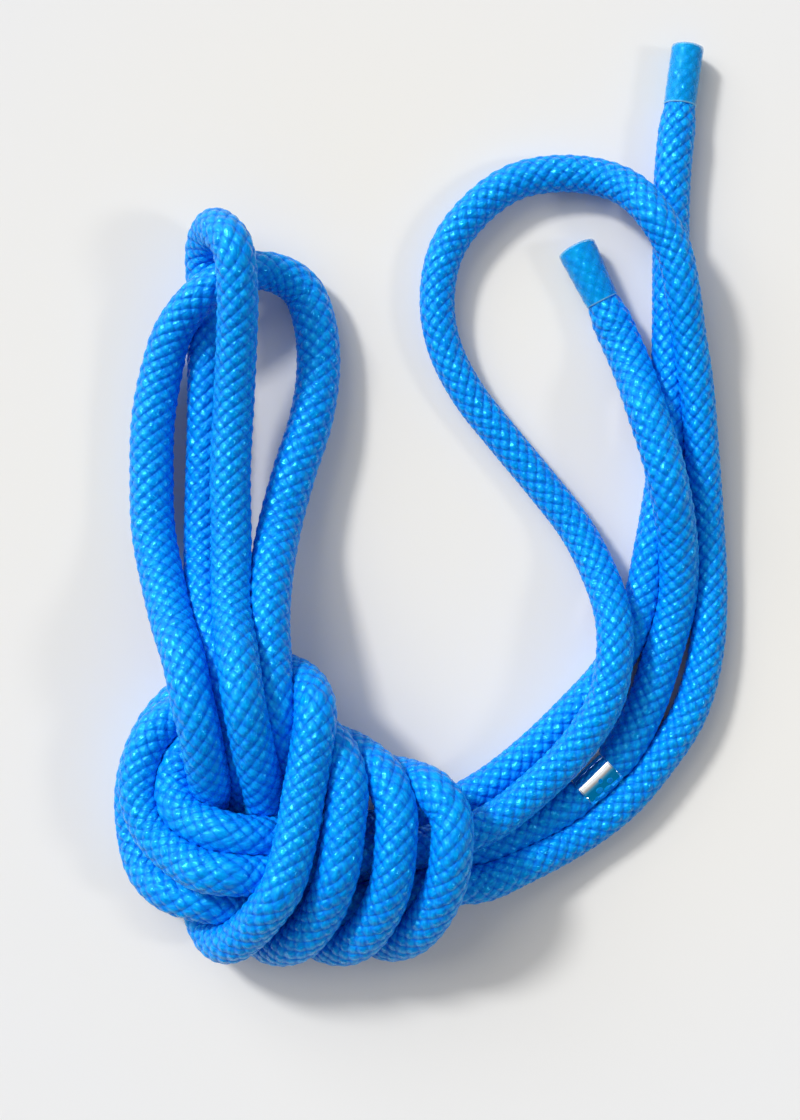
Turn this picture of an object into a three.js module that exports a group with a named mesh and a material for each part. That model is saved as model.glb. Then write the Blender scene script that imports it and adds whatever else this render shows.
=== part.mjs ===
// A dynamic climbing rope, kernmantle: one braided sheath round seven core strands, 2.8 m long. It
// lies as it is put away: folded until four strands lie side by side, and one overhand knot tied in
// all of them together.
// Millimetres, +Z up, +Y towards the rope's cut ends, resting on z = 0 with the origin under its middle.

import * as THREE from "three";

// The rope's section. Everything in it grows and shrinks together with its fullness and its squeeze.
const ROPE_DIAMETER = 9.8;
const ROPE_RADIUS = ROPE_DIAMETER / 2;
const SHEATH_BORE = 3.6;
const SHEATH_SIDES = 8;
const CORE_COUNT = 6;
const CORE_RADIUS = 0.9;
const CORE_GAP = 0.3;
const CORE_PITCH = 2 * CORE_RADIUS + CORE_GAP;
const CORE_SIDES = 4;
const FLAT_CUT = ROPE_DIAMETER / 10;

// How loosely each stretch lies: its thickness over the rope's own
const PULLED = 0.94;
const PLAIN = 1;
const EASED = 1.06;
const SLACK = 1.12;
const KNOTTED = 0.96;

// The cut ends: a melted disc closes each, inside a clear shrunk sleeve
const END_SQUEEZE = 0.72;
const SEAL_THICKNESS = 1.2;
const SEAL_RADIUS = 3.5;
const SEAL_GAP = 0.3;
const SLEEVE_BORE = 3.9;
const SLEEVE_RADIUS = 4.3;
const SLEEVE_REACH = 15;
const SLEEVE_MOUTH_GAP = 0.5;
const SLEEVE_TAPER = 6;

// The bright metal band pressed onto the tail at end B
const BAND_FROM_END = 156;
const BAND_LENGTH = 11;
const BAND_BORE = 4.65;
const BAND_RADIUS = 4.95;
const BAND_BEVEL = 0.15;
const BAND_SQUEEZE = 0.88;
const BAND_MOUTH_GAP = 0.3;
const BAND_TAPER = 3;
const ROUND_SEGMENTS = 16;

// Rings along the rope: as few as keep each chord and each turn this small
const LONGEST_STEP = 20;
const LARGEST_TURN = THREE.MathUtils.degToRad(30);
const CHORD_BALANCE = 1 / 8;
const UNTWIST_PER_RING = THREE.MathUtils.degToRad(6);
const STEEPEST_UNTWIST = 0.5;

// Settling: strands that come too close are pushed apart until they lie against each other
const SPAN_SAMPLES = 8;
const SETTLE_STEP = 4;
const SETTLE_ROUNDS = 500;
const SETTLE_GAP = 2;
const SETTLE_PUSH = 0.4;
const SETTLE_SHARE = 3;
const SETTLE_SMOOTHING = 0.2;
const FULLNESS_BLENDS = 12;
const NEIGHBOURS = 6;
const REFRESH_ROUNDS = 10;
const REFRESH_REACH = 6;
const FINE_SAMPLES = 4;
const GAP_STEP = 1;
const LEAST_GAP = 0.4;

// The route, from end A to end B. Each stretch is its fullness and its centreline's points.
const TAIL_A = [PLAIN, [
  [72.5, 122.6, 4.8], [70.5, 108, 4.6], [68.5, 87.5, 4], [68.3, 66, 4], [68.5, 44.5, 4],
  [68.3, 23, 4], [66.6, 1, 4], [61.4, -25.5, 4], [52.8, -43.8, 4], [41.9, -55.9, 4],
  [29.5, -67.5, 4.5], [17, -77, 5],
]];
const KNOT_PASS_1 = [KNOTTED, [
  [3, -84.5, 5], [-10.5, -88.5, 4.5], [-23.5, -89, 8], [-34, -87.7, 14], [-39, -87.2, 17],
  [-44.5, -86.2, 20], [-50.5, -84.2, 21], [-56.2, -81.5, 18], [-60.2, -76.7, 15],
  [-61.5, -70.5, 13], [-59, -65, 13], [-53, -63, 13.5], [-43.5, -65, 10], [-32, -69, 5],
  [-20, -71.5, 4.5], [-9, -72, 10], [-1.5, -72.8, 18], [3.5, -74.5, 24], [7.8, -80, 27],
  [8.3, -87, 28], [7, -96.8, 25], [3.6, -105.3, 20], [-2, -113.4, 13], [-9.3, -115.8, 5],
  [-18.5, -106.5, 4.5], [-26.5, -96.5, 4.5], [-32, -87.5, 8], [-34.5, -77, 14], [-36.3, -66, 21],
  [-37.8, -52.5, 25], [-39, -41, 23],
]];
const WIDE_BIGHT = [SLACK, [
  [-40, -30.5, 21], [-39.2, -17.5, 16], [-37, -4.5, 10], [-33.3, 9, 8], [-29, 22.5, 7],
  [-27, 36, 6], [-27.8, 48, 6], [-31.6, 57.8, 6],
]];
const WIDE_CREST = [PLAIN, [
  [-39.5, 62, 9], [-48.5, 60.5, 14], [-57, 55.5, 15], [-64.8, 46.5, 12],
]];
const WIDE_RETURN = [SLACK, [
  [-68.6, 36, 9], [-71.1, 22.5, 8], [-71.5, 6.5, 8], [-70.9, -7, 9], [-67.7, -20.5, 14],
  [-63.9, -32, 21],
]];
const KNOT_PASS_2 = [KNOTTED, [
  [-60.2, -40.5, 28], [-57.5, -50.5, 31], [-55.5, -58.5, 30], [-54, -67, 26], [-53, -74, 20],
  [-53.5, -80, 12], [-54, -87, 5], [-55.5, -97.5, 4.5], [-57, -106.5, 4.5], [-54.2, -113.8, 7],
  [-49.7, -114, 14], [-44.4, -109, 20], [-39.7, -102, 25], [-35.2, -94.3, 27], [-31.5, -83, 28],
  [-29.6, -74.5, 28], [-27.5, -65, 28], [-26.5, -54.5, 27], [-29.5, -49.6, 21], [-36, -47.4, 15],
  [-46.5, -49.4, 8], [-55.5, -53, 4.5], [-63.2, -57, 4.5], [-69.3, -63.7, 4.5], [-73.2, -71, 4.5],
  [-75.3, -79.5, 4.5], [-74.9, -90.3, 4.5], [-72, -98, 9], [-65.3, -102.8, 15],
  [-56.5, -105, 17], [-48, -106.5, 15], [-41.5, -107, 14], [-35.5, -107, 14], [-22, -105.5, 13],
  [-7.5, -104, 13], [5.5, -101, 13],
]];
const RIGHT_SWEEP = [PLAIN, [
  [17, -100.8, 10], [28.2, -96.4, 7], [41.7, -89.8, 4], [54.5, -80.5, 4], [64.1, -69.6, 4],
  [73, -56, 4],
]];
const RIGHT_LEG = [PULLED, [
  [77.6, -39.5, 4], [78.6, -23, 4], [77.5, -5.5, 5], [75.7, 13, 7], [73.6, 31.5, 9],
  [71.3, 44.5, 11], [69.3, 56.5, 14], [66.9, 67.5, 14.5],
]];
const TOP_LOOP = [PLAIN, [
  [62, 76.5, 14], [56, 84, 9], [48.5, 88, 5], [37.5, 89.2, 4], [25.6, 86.8, 4], [15.2, 79.3, 4],
  [7.5, 68.5, 4],
]];
const LOOP_RETURN = [PULLED, [
  [5, 55, 4], [7, 42.5, 4], [13.3, 30, 4], [22.7, 18, 4], [33.5, 5, 4], [42.3, -6.5, 5],
]];
const INNER_SWEEP = [PLAIN, [
  [48.1, -18, 8], [51.4, -29.5, 13], [51.7, -40, 15], [49.3, -52, 15], [42, -64, 14],
  [32, -74.5, 13], [19, -84.5, 13],
]];
const KNOT_PASS_3 = [KNOTTED, [
  [5.5, -90, 13], [-7.5, -92, 13], [-22, -93, 14], [-34, -94.5, 15], [-39, -96, 18], [-44, -96, 21],
  [-49, -95.5, 24], [-55.5, -94.5, 24], [-61, -91.5, 21], [-66, -87.5, 18], [-69.5, -82.5, 16],
  [-71.5, -75.5, 15], [-71, -69, 15], [-69, -62, 15], [-64.5, -57, 14], [-56, -53.5, 13.5],
  [-46, -54, 13.5], [-36.3, -57.8, 16], [-27.3, -62, 21], [-22.1, -66.5, 25], [-19.7, -73, 27],
  [-20.1, -82, 28], [-21.6, -93, 27], [-25.8, -103.8, 21], [-33.9, -112.5, 13], [-41.6, -114, 5],
  [-46.6, -105.5, 4.5], [-47.5, -96.5, 4.5], [-48.5, -85, 7], [-48, -74.5, 13], [-48.5, -63.5, 19],
  [-50.5, -51.5, 22], [-52.5, -41, 21],
]];
const NARROW_BIGHT = [EASED, [
  [-56.5, -28, 14], [-57.8, -12.5, 6], [-57.6, 4, 4], [-57, 23, 4], [-57, 41.5, 4], [-57.2, 58, 4],
  [-57, 68, 8], [-54.5, 72, 15], [-51.5, 70.5, 22], [-48, 65.5, 27], [-46.9, 54.5, 26],
  [-47.5, 42, 22], [-48.5, 27, 18], [-49.4, 8.5, 17], [-49, -7, 17], [-48, -25.5, 21],
]];
const KNOT_PASS_4 = [KNOTTED, [
  [-45.5, -40.5, 30], [-44, -50.5, 31], [-42, -63, 25], [-41.5, -75.5, 16], [-42, -86.5, 6],
  [-39.5, -94.5, 4.5], [-34.3, -103.8, 4.5], [-28.6, -113.6, 5], [-19.6, -114.2, 12],
  [-12.4, -106.8, 20], [-8.1, -97.3, 26], [-6.8, -87, 28], [-7, -77.5, 27], [-10.3, -71.3, 24],
  [-17.1, -66.8, 18], [-24.6, -64.5, 13], [-32, -62, 8], [-42, -59, 4.5], [-51.5, -58.5, 4.5],
  [-58, -61, 4.5], [-62.5, -67, 4.5], [-63.5, -75.5, 4.5], [-62.5, -85, 5], [-60, -92, 9],
  [-55, -95, 13], [-47.5, -96, 14], [-35.5, -98, 11], [-22.5, -100.5, 5], [-7.5, -99, 4.5],
  [6, -96.5, 4.5],
]];
const TAIL_B = [EASED, [
  [18, -93, 5], [30, -87.5, 4], [40, -81, 4.5], [49, -73.5, 5], [57, -63.5, 4.5], [62.5, -52.5, 4],
  [66, -40.5, 4], [68, -26, 5], [67.5, -11, 9], [65.5, 2, 14], [63.2, 12.5, 15], [60, 24.5, 13],
  [57, 36.5, 7], [53.7, 45.5, 4], [50.8, 52, 4], [47.6, 58.5, 4.5], [42.9, 68.4, 4.5],
]];
const ROUTE = [
  TAIL_A, KNOT_PASS_1, WIDE_BIGHT, WIDE_CREST, WIDE_RETURN, KNOT_PASS_2, RIGHT_SWEEP, RIGHT_LEG,
  TOP_LOOP, LOOP_RETURN, INNER_SWEEP, KNOT_PASS_3, NARROW_BIGHT, KNOT_PASS_4, TAIL_B,
];

// ---- The centreline ----

function drawnLine() {
  const control = ROUTE.flatMap(([, points]) => points.map((p) => new THREE.Vector3(...p)));
  const fullness = ROUTE.flatMap(([full, points]) => points.map(() => full));
  const curve = new THREE.CatmullRomCurve3(control, false, "centripetal");
  const spans = control.length - 1;
  const line = [];
  for (let i = 0; i <= spans * SPAN_SAMPLES; i++) {
    const at = i / SPAN_SAMPLES;
    const k = Math.min(Math.floor(at), spans - 1);
    line.push({
      point: curve.getPoint(at / spans),
      fullness: THREE.MathUtils.lerp(fullness[k], fullness[k + 1], at - k),
    });
  }
  return line;
}

function lengthsAlong(points) {
  const lengths = [0];
  for (let i = 1; i < points.length; i++) {
    lengths.push(lengths[i - 1] + points[i].distanceTo(points[i - 1]));
  }
  return lengths;
}

// The last index whose value in a rising list is not past the one asked for, but never the end
function indexBefore(rising, value) {
  let low = 0;
  let high = rising.length - 1;
  while (high - low > 1) {
    const middle = (low + high) >> 1;
    if (rising[middle] > value) high = middle;
    else low = middle;
  }
  return low;
}

// Reads a list of numbers or points at a value of the rising list beside it
function readAt(rising, values, value) {
  const i = indexBefore(rising, value);
  const t = (value - rising[i]) / (rising[i + 1] - rising[i]);
  if (values[i].isVector3) return values[i].clone().lerp(values[i + 1], t);
  return THREE.MathUtils.lerp(values[i], values[i + 1], t);
}

function evenly(line, step) {
  const points = line.map((sample) => sample.point);
  const fullness = line.map((sample) => sample.fullness);
  const lengths = lengthsAlong(points);
  const total = lengths.at(-1);
  const count = Math.round(total / step);
  return Array.from({ length: count + 1 }, (_, i) => {
    const at = (total * i) / count;
    return { point: readAt(lengths, points, at), fullness: readAt(lengths, fullness, at) };
  });
}

function blended(values) {
  const ends = [0, values.length - 1];
  return values.map((v, i) => (ends.includes(i) ? v : v / 2 + (values[i - 1] + values[i + 1]) / 4));
}

function nearPairs(points, radii) {
  const pairs = [];
  for (let i = 0; i < points.length; i++) {
    for (let j = i + NEIGHBOURS + 1; j < points.length; j++) {
      const wanted = radii[i] + radii[j] + SETTLE_GAP;
      if (points[i].distanceTo(points[j]) < wanted + REFRESH_REACH) pairs.push({ i, j, wanted });
    }
  }
  return pairs;
}

// How far each point is pushed by the strands that are too near it, shared out among them
function pushes(points, pairs) {
  const push = points.map(() => new THREE.Vector3());
  const contacts = points.map(() => 0);
  const apart = new THREE.Vector3();
  for (const { i, j, wanted } of pairs) {
    apart.subVectors(points[i], points[j]);
    const distance = Math.max(apart.length(), 1e-6);
    if (distance >= wanted) continue;
    apart.multiplyScalar((SETTLE_PUSH * (wanted - distance)) / distance);
    push[i].add(apart);
    push[j].sub(apart);
    contacts[i] += 1;
    contacts[j] += 1;
  }
  push.forEach((p, i) => p.divideScalar(Math.max(1, contacts[i] / SETTLE_SHARE)));
  return push;
}

function smoothed(moves) {
  return moves.map((move, i) => {
    if (i === 0 || i === moves.length - 1) return move.clone();
    const between = moves[i - 1].clone().add(moves[i + 1]).divideScalar(2);
    return move.clone().lerp(between, SETTLE_SMOOTHING);
  });
}

// The drawn line with its strands moved apart, never below where the rope meets the floor
function settledLine() {
  const drawn = evenly(drawnLine(), SETTLE_STEP);
  const start = drawn.map((sample) => sample.point);
  let fullness = drawn.map((sample) => sample.fullness);
  for (let k = 0; k < FULLNESS_BLENDS; k++) fullness = blended(fullness);
  const radii = fullness.map((full) => full * ROPE_RADIUS);
  let moves = start.map(() => new THREE.Vector3());
  let points = start;
  let pairs = [];
  for (let round = 0; round < SETTLE_ROUNDS; round++) {
    if (round % REFRESH_ROUNDS === 0) pairs = nearPairs(points, radii);
    const push = pushes(points, pairs);
    moves = smoothed(moves.map((move, i) => move.add(push[i])));
    moves.forEach((move, i) => {
      move.z = Math.max(move.z, radii[i] - FLAT_CUT - start[i].z);
    });
    moves[0].set(0, 0, 0);
    moves.at(-1).set(0, 0, 0);
    points = start.map((p, i) => p.clone().add(moves[i]));
  }
  return { points, fullness };
}

// ---- Rings along the centreline ----

function fineLine() {
  const settled = settledLine();
  const spans = settled.points.length - 1;
  const curve = new THREE.CatmullRomCurve3(settled.points, false, "centripetal");
  const points = curve.getPoints(spans * FINE_SAMPLES);
  const places = settled.points.map((_, i) => i);
  const fullness = points.map((_, i) => readAt(places, settled.fullness, i / FINE_SAMPLES));
  return { points, fullness, lengths: lengthsAlong(points) };
}

function turnAt(points, i) {
  if (i === 0 || i === points.length - 1) return 0;
  const before = points[i].clone().sub(points[i - 1]);
  const after = points[i + 1].clone().sub(points[i]);
  return before.angleTo(after);
}

// Counts rings along the line: a long chord uses one up, and so does a large turn
function ringCounts(line) {
  const counts = [0];
  for (let i = 1; i < line.points.length; i++) {
    const step = line.lengths[i] - line.lengths[i - 1];
    const turn = (turnAt(line.points, i) + turnAt(line.points, i - 1)) / 2;
    counts.push(counts[i - 1] + Math.max(step / LONGEST_STEP, turn / LARGEST_TURN));
  }
  return counts;
}

function fixedPlaces(total) {
  const mouth = SLEEVE_REACH + SLEEVE_MOUTH_GAP;
  const bandMouth = BAND_LENGTH / 2 + BAND_MOUTH_GAP;
  const band = total - BAND_FROM_END;
  return [
    { at: 0, squeeze: END_SQUEEZE },
    { at: mouth, squeeze: END_SQUEEZE },
    { at: mouth + SLEEVE_TAPER, squeeze: 1 },
    { at: band - bandMouth - BAND_TAPER, squeeze: 1 },
    { at: band - bandMouth, squeeze: BAND_SQUEEZE },
    { at: band + bandMouth, squeeze: BAND_SQUEEZE },
    { at: band + bandMouth + BAND_TAPER, squeeze: 1 },
    { at: total - mouth - SLEEVE_TAPER, squeeze: 1 },
    { at: total - mouth, squeeze: END_SQUEEZE },
    { at: total, squeeze: END_SQUEEZE },
  ];
}

// The stretches under the sleeves and the band stay straight, with a ring only at each end
function isStraight(from, to) {
  return from.squeeze === to.squeeze && from.squeeze < 1;
}

function ringPlaces(line) {
  const counts = ringCounts(line);
  const fixed = fixedPlaces(line.lengths.at(-1));
  const places = [fixed[0]];
  for (let k = 1; k < fixed.length; k++) {
    const from = readAt(line.lengths, counts, fixed[k - 1].at);
    const to = readAt(line.lengths, counts, fixed[k].at);
    const parts = isStraight(fixed[k - 1], fixed[k]) ? 1 : Math.ceil(to - from);
    for (let i = 1; i < parts; i++) {
      const at = readAt(counts, line.lengths, THREE.MathUtils.lerp(from, to, i / parts));
      const t = (at - fixed[k - 1].at) / (fixed[k].at - fixed[k - 1].at);
      places.push({ at, squeeze: THREE.MathUtils.lerp(fixed[k - 1].squeeze, fixed[k].squeeze, t) });
    }
    places.push(fixed[k]);
  }
  return places;
}

// Moves each ring out from its bend a little, so that the chords lie half inside the curve, half out
function balanced(points) {
  return points.map((point, i) => {
    if (i === 0 || i === points.length - 1) return point;
    const between = points[i - 1].clone().add(points[i + 1]).divideScalar(2);
    return point.clone().lerp(between, -CHORD_BALANCE);
  });
}

function directionAt(centres, i) {
  const along = new THREE.Vector3();
  if (i > 0) along.add(centres[i].clone().sub(centres[i - 1]).normalize());
  if (i < centres.length - 1) along.add(centres[i + 1].clone().sub(centres[i]).normalize());
  return along.normalize();
}

function squareTo(direction, vector) {
  return vector.clone().projectOnPlane(direction).normalize();
}

// Turns a ring slowly back until one of its flats faces the floor, where the rope isn't steep
function untwisted(down, direction) {
  if (Math.abs(direction.z) > STEEPEST_UNTWIST) return down;
  const floorward = squareTo(direction, new THREE.Vector3(0, 0, -1));
  const flat = (2 * Math.PI) / SHEATH_SIDES;
  const across = direction.clone().cross(down);
  const angle = Math.atan2(floorward.dot(across), floorward.dot(down));
  const off = angle - flat * Math.round(angle / flat);
  return down.clone().applyAxisAngle(
    direction,
    THREE.MathUtils.clamp(off, -UNTWIST_PER_RING, UNTWIST_PER_RING),
  );
}

function makeRings(line) {
  const places = ringPlaces(line);
  const centres = balanced(places.map(({ at }) => readAt(line.lengths, line.points, at)));
  const rings = [];
  const carry = new THREE.Quaternion();
  places.forEach((place, i) => {
    const direction = directionAt(centres, i);
    let down = squareTo(direction, new THREE.Vector3(0, 0, -1));
    if (i > 0) {
      carry.setFromUnitVectors(rings[i - 1].direction, direction);
      down = untwisted(rings[i - 1].down.clone().applyQuaternion(carry), direction);
    }
    const size = place.squeeze * readAt(line.lengths, line.fullness, place.at);
    const across = direction.clone().cross(down);
    rings.push({ centre: centres[i], direction, down, across, size, squeeze: place.squeeze });
  });
  return rings;
}

// The least gap between strands, on points every millimetre along the chords between the rings
function leastGap(rings) {
  const centres = rings.map((ring) => ring.centre);
  const lengths = lengthsAlong(centres);
  const radii = rings.map((ring) => ring.size * ROPE_RADIUS);
  const count = Math.floor(lengths.at(-1) / GAP_STEP);
  const samples = Array.from({ length: count + 1 }, (_, i) => ({
    point: readAt(lengths, centres, i * GAP_STEP),
    radius: readAt(lengths, radii, i * GAP_STEP),
  }));
  const apart = (NEIGHBOURS * SETTLE_STEP) / GAP_STEP;
  let least = Infinity;
  for (let i = 0; i < count; i++) {
    for (let j = i + apart; j <= count; j++) {
      const gap = samples[i].point.distanceTo(samples[j].point) - samples[i].radius - samples[j].radius;
      least = Math.min(least, gap);
    }
  }
  return least;
}

// ---- Bodies ----

// A polygon in a ring's plane, its first side facing the ring's own down
function polygon(ring, radius, sides, side = 0, up = 0) {
  const points = [];
  for (let k = 0; k < sides; k++) {
    const angle = ((k + 0.5) * 2 * Math.PI) / sides;
    const down = ring.size * (side + radius * Math.cos(angle));
    const across = ring.size * (up + radius * Math.sin(angle));
    points.push(ring.centre.clone().addScaledVector(ring.down, down).addScaledVector(ring.across, across));
  }
  return points;
}

// Joins loops of equal sides one to the next: a tube with closed ends, or with its wall closed round
function skin(loops, hollow) {
  const sides = loops[0].length;
  const index = [];
  const bands = hollow ? loops.length : loops.length - 1;
  for (let i = 0; i < bands; i++) {
    const here = i * sides;
    const next = ((i + 1) % loops.length) * sides;
    for (let k = 0; k < sides; k++) {
      const l = (k + 1) % sides;
      index.push(here + k, here + l, next + l, here + k, next + l, next + k);
    }
  }
  const last = (loops.length - 1) * sides;
  for (let k = 1; !hollow && k < sides - 1; k++) {
    index.push(0, k + 1, k, last, last + k, last + k + 1);
  }
  const geometry = new THREE.BufferGeometry();
  geometry.setAttribute("position", new THREE.Float32BufferAttribute(loops.flat().flatMap((p) => [...p]), 3));
  geometry.setIndex(index);
  geometry.computeVertexNormals();
  return geometry;
}

function part(name, geometry, color, roughness, metalness = 0) {
  const mesh = new THREE.Mesh(geometry, new THREE.MeshStandardMaterial({ color, roughness, metalness }));
  mesh.name = name;
  return mesh;
}

// The braided sheath: one tube with a bore, cut flat underneath where it lies on the floor
function sheath(rings) {
  const outside = rings.map((ring) => polygon(ring, ROPE_RADIUS, SHEATH_SIDES));
  for (const point of outside.flat()) point.z = Math.max(point.z, 0);
  const inside = rings.map((ring) => polygon(ring, SHEATH_BORE, SHEATH_SIDES));
  return part("sheath", skin([...outside, ...inside.reverse()], true), 0x1484db, 0.35);
}

function coreStrand(name, rings, side, up) {
  const loops = rings.map((ring) => polygon(ring, CORE_RADIUS, CORE_SIDES, side, up));
  return part(name, skin(loops, false), 0xf1efe8, 0.7);
}

function coreStrands(rings) {
  const strands = [coreStrand("core_strand_centre", rings, 0, 0)];
  for (let k = 0; k < CORE_COUNT; k++) {
    const angle = (k * 2 * Math.PI) / CORE_COUNT;
    const side = CORE_PITCH * Math.cos(angle);
    const up = CORE_PITCH * Math.sin(angle);
    strands.push(coreStrand(`core_strand_${k + 1}`, rings, side, up));
  }
  return strands;
}

// Turns a piece from lying along +Y to lying along a direction, at a place
function placed(mesh, place, direction) {
  mesh.position.copy(place);
  mesh.quaternion.setFromUnitVectors(new THREE.Vector3(0, 1, 0), direction);
  return mesh;
}

function turned(profile) {
  return new THREE.LatheGeometry(profile.map(([x, y]) => new THREE.Vector2(x, y)), ROUND_SEGMENTS);
}

// A tube's wall from one height to another, its outer edges cut back by a small bevel
function ringProfile(bore, radius, low, high, bevel) {
  return [
    [bore, low],
    [radius - bevel, low],
    [radius, low + bevel],
    [radius, high - bevel],
    [radius - bevel, high],
    [bore, high],
    [bore, low],
  ];
}

// One end: the melted disc that closes the cut, and the clear sleeve round it and the rope
function cutEnd(letter, cut, inner) {
  const outward = cut.centre.clone().sub(inner.centre).normalize();
  const reach = SEAL_GAP + SEAL_THICKNESS;
  const disc = turned([[0, SEAL_GAP], [SEAL_RADIUS, SEAL_GAP], [SEAL_RADIUS, reach], [0, reach]]);
  const sleeve = turned(ringProfile(SLEEVE_BORE, SLEEVE_RADIUS, -SLEEVE_REACH, reach, SEAL_GAP / 2));
  return [
    placed(part(`end_seal_${letter}`, disc, 0x0b3f8f, 0.3), cut.centre, outward),
    placed(part(`end_sleeve_${letter}`, sleeve, 0x2bb4e6, 0.15), cut.centre, outward),
  ];
}

// The band, round the two rings where the rope is squeezed for it
function markerBand(rings) {
  const [from, to] = rings.filter((ring) => ring.squeeze === BAND_SQUEEZE);
  const middle = from.centre.clone().lerp(to.centre, 0.5);
  const along = to.centre.clone().sub(from.centre).normalize();
  const half = BAND_LENGTH / 2;
  const profile = ringProfile(BAND_BORE, BAND_RADIUS, -half, half, BAND_BEVEL);
  return placed(part("marker_band", turned(profile), 0xe6eaee, 0.08, 1), middle, along);
}

function rope() {
  const line = fineLine();
  const rings = makeRings(line);
  const gap = leastGap(rings);
  console.log(`rope ${line.lengths.at(-1).toFixed(0)} mm long, ${rings.length} rings`);
  console.log(`least gap between strands ${gap.toFixed(2)} mm, allowed from ${LEAST_GAP}`);
  const group = new THREE.Group();
  group.add(sheath(rings), ...coreStrands(rings));
  group.add(...cutEnd("a", rings[0], rings[1]), ...cutEnd("b", rings.at(-1), rings.at(-2)));
  group.add(markerBand(rings));
  return group;
}

export default rope();
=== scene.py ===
"""The looks of a folded and knotted dynamic rope: braid, core, sealed and sleeved ends, metal band."""

import math

import bmesh
import bpy
import numpy as np
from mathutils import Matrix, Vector


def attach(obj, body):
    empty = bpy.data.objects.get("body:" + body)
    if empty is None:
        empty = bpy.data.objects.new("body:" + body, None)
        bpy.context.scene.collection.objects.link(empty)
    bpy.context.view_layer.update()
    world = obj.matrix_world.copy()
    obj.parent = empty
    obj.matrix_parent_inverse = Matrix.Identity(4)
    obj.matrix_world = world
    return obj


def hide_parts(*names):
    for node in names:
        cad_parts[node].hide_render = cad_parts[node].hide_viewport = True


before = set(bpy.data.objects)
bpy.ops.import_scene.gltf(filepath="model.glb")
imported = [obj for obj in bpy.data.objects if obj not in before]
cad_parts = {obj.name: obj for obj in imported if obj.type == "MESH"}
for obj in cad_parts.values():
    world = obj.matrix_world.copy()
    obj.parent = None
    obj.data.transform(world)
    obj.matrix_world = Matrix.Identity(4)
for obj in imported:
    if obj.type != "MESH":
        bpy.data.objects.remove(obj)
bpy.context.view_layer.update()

# ---- Sizes, in metres ----

MM = 0.001
ROPE_DIAMETER = 9.8 * MM
ROPE_RADIUS = ROPE_DIAMETER / 2
BODY = "root"

# How loosely each stretch lies: its thickness over the rope's own
PULLED = 0.94
PLAIN = 1.0
EASED = 1.09
KNOTTED = 1.13
SLACK = 1.19

# The braid: eight yarns wound each way make sixteen columns of bumps round the rope
COLUMNS = 16
LAY = 30 * MM
YARN_CROWN = 0.4 * MM
YARN_LIFT = 0.27 * MM
LEFT_LOWER = 0.02 * MM
CREST_PROUD = 0.17 * MM
BRAID_RELIEF = YARN_CROWN + YARN_LIFT
YARN_ROUNDNESS = 0.98
CREVICE_BLEND = 0.12 * MM
RING_SIDES = 96
RING_STEP = 0.46 * MM
DIRECTION_REACH = 2
STRETCHES = 10
# The lowest place for a point of the sheath: the floor limits its height alone
LOWEST_PLACE = (-10.0, -10.0, 0.0)

# The core: one strand in the middle and six round it
CORE_COUNT = 6
CORE_RADIUS = 0.95 * MM
CORE_PITCH = 2.1 * MM
CORE_SIDES = 10
CORE_RING_EVERY = 6
SHEATH_BORE = 3.3 * MM
BORE_EVERY_SIDE = 6
BORE_EVERY_RING = 10
BORE_SIDES = RING_SIDES // BORE_EVERY_SIDE

# The cut ends and their clear sleeves: the rope under them is drawn in, and flares towards end B
MOUTH_SQUEEZE_A = 0.82
MOUTH_SQUEEZE_B = 0.79
TIP_SQUEEZE_B = 0.93
SLEEVE_REACH = 15 * MM
SLEEVE_TAPER = 6 * MM
SLEEVE_WALL = 0.3 * MM
SLEEVE_SHOWS = 0.45
SLEEVE_EVERY = 2
# The sleeve's mouth: how far each point of its lip lies ahead of the cut and in from the rope's side
SLEEVE_LIP = [
    (0.35 * MM, -0.3 * MM), (0.75 * MM, -0.1 * MM), (0.95 * MM, 0.4 * MM), (0.95 * MM, 1.0 * MM),
    (0.75 * MM, 1.0 * MM), (0.7 * MM, 0.5 * MM), (0.5 * MM, 0.25 * MM), (0.25 * MM, 0.05 * MM),
]
SEAL_THICKNESS = 0.8 * MM
SEAL_GAP = 0.15 * MM
SEAL_SHARE = 0.88
SEAL_FOOT = 0.96
SEAL_RIM = 0.25
SEAL_FLATNESS = 0.7
SEAL_STEPS = 10
SEAL_SIDES = 48
MERGE_WITHIN = 1e-7

# The metal band
BAND_FROM_END = 156 * MM
BAND_LENGTH = 11 * MM
BAND_RADIUS = 4.95 * MM
BAND_BORE = 4.6 * MM
BAND_SQUEEZE = 0.88
BAND_TAPER = 2.2 * MM
BAND_SIDES = 128
BEAD = 0.32 * MM
BEAD_PROUD = 0.1 * MM
BEAD_FOOT = 1.6
BEAD_STEPS = 8

# Settling: strands that come too close are pushed apart until they lie against each other
SPAN_SAMPLES = 8
SETTLE_STEP = 4 * MM
SETTLE_ROUNDS = 500
SOFTNESS = 0.85
SETTLE_PUSH = 0.4
SETTLE_SHARE = 3.0
SETTLE_SMOOTHING = 0.12
FULLNESS_BLENDS = 12
NEIGHBOURS = 6
REFRESH_ROUNDS = 10
REFRESH_REACH = 6 * MM
LEAST_DISTANCE = 1e-9
FLOOR_SINK = 0.35 * MM

# Pressing: where two strands share a place, each gives way as far as the surface halfway between them
PRESS_APART = 27 * MM
PRESS_EVERY = 2
PRESS_LEAST = 0.6
PRESS_HALVINGS = 7
PRESS_BLENDS = 4

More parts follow.
